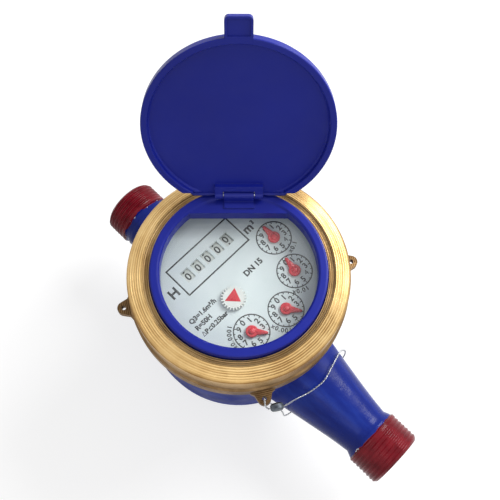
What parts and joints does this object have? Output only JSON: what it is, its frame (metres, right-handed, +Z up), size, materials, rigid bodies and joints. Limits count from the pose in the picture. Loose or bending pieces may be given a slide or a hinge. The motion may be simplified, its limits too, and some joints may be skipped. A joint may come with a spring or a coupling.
{
  "type": "water meter",
  "caption": "Multi-jet water meter: blue cast bowl with red threaded pipe ends, brass cover ring, glazed dial with pointers and number drums, and a hinged blue lid.",
  "frame": {"origin": "centre of the flat foot, under the register axis", "axes": "+X along the pipe to the inlet end, +Z up along the register axis"},
  "size_m": [0.165, 0.105, 0.1602],
  "materials": {
    "blue_paint": "gloss enamel",
    "brass": "turned",
    "blue_plastic": "moulded",
    "glass": "clear",
    "dial_white": "printed",
    "white_plastic": "moulded",
    "grey_plastic": "moulded",
    "red_plastic": "moulded",
    "steel": "drawn",
    "black_rubber": "matte",
    "lead": "dull"
  },
  "bodies": {
    "meter": {"body": "blue_paint", "cover_ring": "brass", "glass_gasket": "black_rubber", "glass": "glass", "slip_washer": "white_plastic", "bezel": "blue_plastic", "hinge_pin": "steel", "register_housing": "grey_plastic", "shaft_bush": "steel", "dial_plate": "dial_white", "counter_frame": "grey_plastic", "drum_shaft": "steel", "carry_shaft": "steel", "chamber_seal": "black_rubber", "measuring_chamber": "white_plastic", "chamber_cover": "white_plastic", "pivot_pin": "steel", "strainer_basket": "white_plastic", "inlet_strainer": "white_plastic", "seal_wire": "steel", "lead_seal": "lead"},
    "lid_panel": {"lid": "blue_plastic"},
    "impeller_rotor": {"impeller": "grey_plastic", "impeller_shaft": "steel", "impeller_pinion": "white_plastic"},
    "star_rotor": {"star_arbor": "white_plastic", "star_wheel": "white_plastic"},
    "idler_rotor_1": {"idler_1": "white_plastic"},
    "pointer_rotor_1": {"pointer_arbor_1": "white_plastic", "pointer_1": "red_plastic"},
    "idler_rotor_2": {"idler_2": "white_plastic"},
    "pointer_rotor_2": {"pointer_arbor_2": "white_plastic", "pointer_2": "red_plastic"},
    "idler_rotor_3": {"idler_3": "white_plastic"},
    "pointer_rotor_3": {"pointer_arbor_3": "white_plastic", "pointer_3": "red_plastic"},
    "idler_rotor_4": {"idler_4": "white_plastic"},
    "pointer_rotor_4": {"pointer_arbor_4": "white_plastic", "pointer_4": "red_plastic"},
    "counter_rotor": {"counter_arbor": "white_plastic"},
    "drum_rotor_1": {"number_drum_1": "white_plastic"},
    "drum_rotor_2": {"number_drum_2": "white_plastic"},
    "drum_rotor_3": {"number_drum_3": "white_plastic"},
    "drum_rotor_4": {"number_drum_4": "white_plastic"},
    "drum_rotor_5": {"number_drum_5": "white_plastic"},
    "carry_rotor_1": {"carry_pinion_1": "white_plastic"},
    "carry_rotor_2": {"carry_pinion_2": "white_plastic"},
    "carry_rotor_3": {"carry_pinion_3": "white_plastic"},
    "carry_rotor_4": {"carry_pinion_4": "white_plastic"}
  },
  "joints": [
    {"name": "lid_hinge", "type": "hinge", "parent": "meter", "child": "lid_panel", "pos_m": [-0.02135, 0.02135, 0.095], "axis": [-0.7071, -0.7071, 0], "range_deg": [-119, 0]},
    {"name": "impeller_spin", "type": "hinge", "parent": "meter", "child": "impeller_rotor", "pos_m": [0, 0, 0.038], "axis": [0, 0, 1], "continuous": true},
    {"name": "star_spin", "type": "hinge", "parent": "meter", "child": "star_rotor", "pos_m": [0.00443, -0.00737, 0.074], "axis": [0, 0, 1], "continuous": true},
    {"name": "idler_1_spin", "type": "hinge", "parent": "meter", "child": "idler_rotor_1", "pos_m": [0.01097, -0.01136, 0.074], "axis": [0, 0, 1], "continuous": true},
    {"name": "pointer_1_spin", "type": "hinge", "parent": "meter", "child": "pointer_rotor_1", "pos_m": [0.01876, -0.01186, 0.074], "axis": [0, 0, 1], "continuous": true},
    {"name": "idler_2_spin", "type": "hinge", "parent": "meter", "child": "idler_rotor_2", "pos_m": [0.01833, -0.00362, 0.074], "axis": [0, 0, 1], "continuous": true},
    {"name": "pointer_2_spin", "type": "hinge", "parent": "meter", "child": "pointer_rotor_2", "pos_m": [0.02184, 0.00401, 0.074], "axis": [0, 0, 1], "continuous": true},
    {"name": "idler_3_spin", "type": "hinge", "parent": "meter", "child": "idler_rotor_3", "pos_m": [0.01593, 0.00977, 0.074], "axis": [0, 0, 1], "continuous": true},
    {"name": "pointer_3_spin", "type": "hinge", "parent": "meter", "child": "pointer_rotor_3", "pos_m": [0.01333, 0.01775, 0.074], "axis": [0, 0, 1], "continuous": true},
    {"name": "idler_4_spin", "type": "hinge", "parent": "meter", "child": "idler_rotor_4", "pos_m": [0.00508, 0.01798, 0.074], "axis": [0, 0, 1], "continuous": true},
    {"name": "pointer_4_spin", "type": "hinge", "parent": "meter", "child": "pointer_rotor_4", "pos_m": [-0.00224, 0.02209, 0.074], "axis": [0, 0, 1], "continuous": true},
    {"name": "counter_spin", "type": "hinge", "parent": "meter", "child": "counter_rotor", "pos_m": [-0.0093, 0.015, 0.074], "axis": [0, 0, 1], "continuous": true},
    {"name": "drum_1_spin", "type": "hinge", "parent": "meter", "child": "drum_rotor_1", "pos_m": [-0.0153, 0.0082, 0.0726], "axis": [0, 1, 0], "continuous": true},
    {"name": "drum_2_spin", "type": "hinge", "parent": "meter", "child": "drum_rotor_2", "pos_m": [-0.0153, 0.00285, 0.0726], "axis": [0, 1, 0], "continuous": true},
    {"name": "drum_3_spin", "type": "hinge", "parent": "meter", "child": "drum_rotor_3", "pos_m": [-0.0153, -0.0025, 0.0726], "axis": [0, 1, 0], "continuous": true},
    {"name": "drum_4_spin", "type": "hinge", "parent": "meter", "child": "drum_rotor_4", "pos_m": [-0.0153, -0.00785, 0.0726], "axis": [0, 1, 0], "continuous": true},
    {"name": "drum_5_spin", "type": "hinge", "parent": "meter", "child": "drum_rotor_5", "pos_m": [-0.0153, -0.0132, 0.0726], "axis": [0, 1, 0], "continuous": true},
    {"name": "carry_1_spin", "type": "hinge", "parent": "meter", "child": "carry_rotor_1", "pos_m": [-0.02179, 0.00553, 0.06998], "axis": [0, 1, 0], "continuous": true},
    {"name": "carry_2_spin", "type": "hinge", "parent": "meter", "child": "carry_rotor_2", "pos_m": [-0.02179, 0.00017, 0.06998], "axis": [0, 1, 0], "continuous": true},
    {"name": "carry_3_spin", "type": "hinge", "parent": "meter", "child": "carry_rotor_3", "pos_m": [-0.02179, -0.00517, 0.06998], "axis": [0, 1, 0], "continuous": true},
    {"name": "carry_4_spin", "type": "hinge", "parent": "meter", "child": "carry_rotor_4", "pos_m": [-0.02179, -0.01052, 0.06998], "axis": [0, 1, 0], "continuous": true}
  ],
  "couplings": [
    {"joint": "star_spin", "follows": "impeller_spin", "ratio": -0.5},
    {"joint": "idler_1_spin", "follows": "impeller_spin", "ratio": 0.16},
    {"joint": "pointer_1_spin", "follows": "impeller_spin", "ratio": -0.05},
    {"joint": "idler_2_spin", "follows": "impeller_spin", "ratio": 0.016},
    {"joint": "pointer_2_spin", "follows": "impeller_spin", "ratio": -0.005},
    {"joint": "idler_3_spin", "follows": "impeller_spin", "ratio": 0.0016},
    {"joint": "pointer_3_spin", "follows": "impeller_spin", "ratio": -0.0005},
    {"joint": "idler_4_spin", "follows": "impeller_spin", "ratio": 0.00016},
    {"joint": "pointer_4_spin", "follows": "impeller_spin", "ratio": -0.00005},
    {"joint": "counter_spin", "follows": "impeller_spin", "ratio": 0.00005},
    {"joint": "drum_1_spin", "follows": "impeller_spin", "ratio": -0.000005},
    {"joint": "drum_2_spin", "follows": "impeller_spin", "ratio": -0.0000005},
    {"joint": "drum_3_spin", "follows": "impeller_spin", "ratio": -0.00000005},
    {"joint": "drum_4_spin", "follows": "impeller_spin", "ratio": -0.000000005},
    {"joint": "drum_5_spin", "follows": "impeller_spin", "ratio": -0.0000000005},
    {"joint": "carry_1_spin", "follows": "impeller_spin", "ratio": 0.00000125},
    {"joint": "carry_2_spin", "follows": "impeller_spin", "ratio": 0.000000125},
    {"joint": "carry_3_spin", "follows": "impeller_spin", "ratio": 0.0000000125},
    {"joint": "carry_4_spin", "follows": "impeller_spin", "ratio": 0.00000000125}
  ]
}
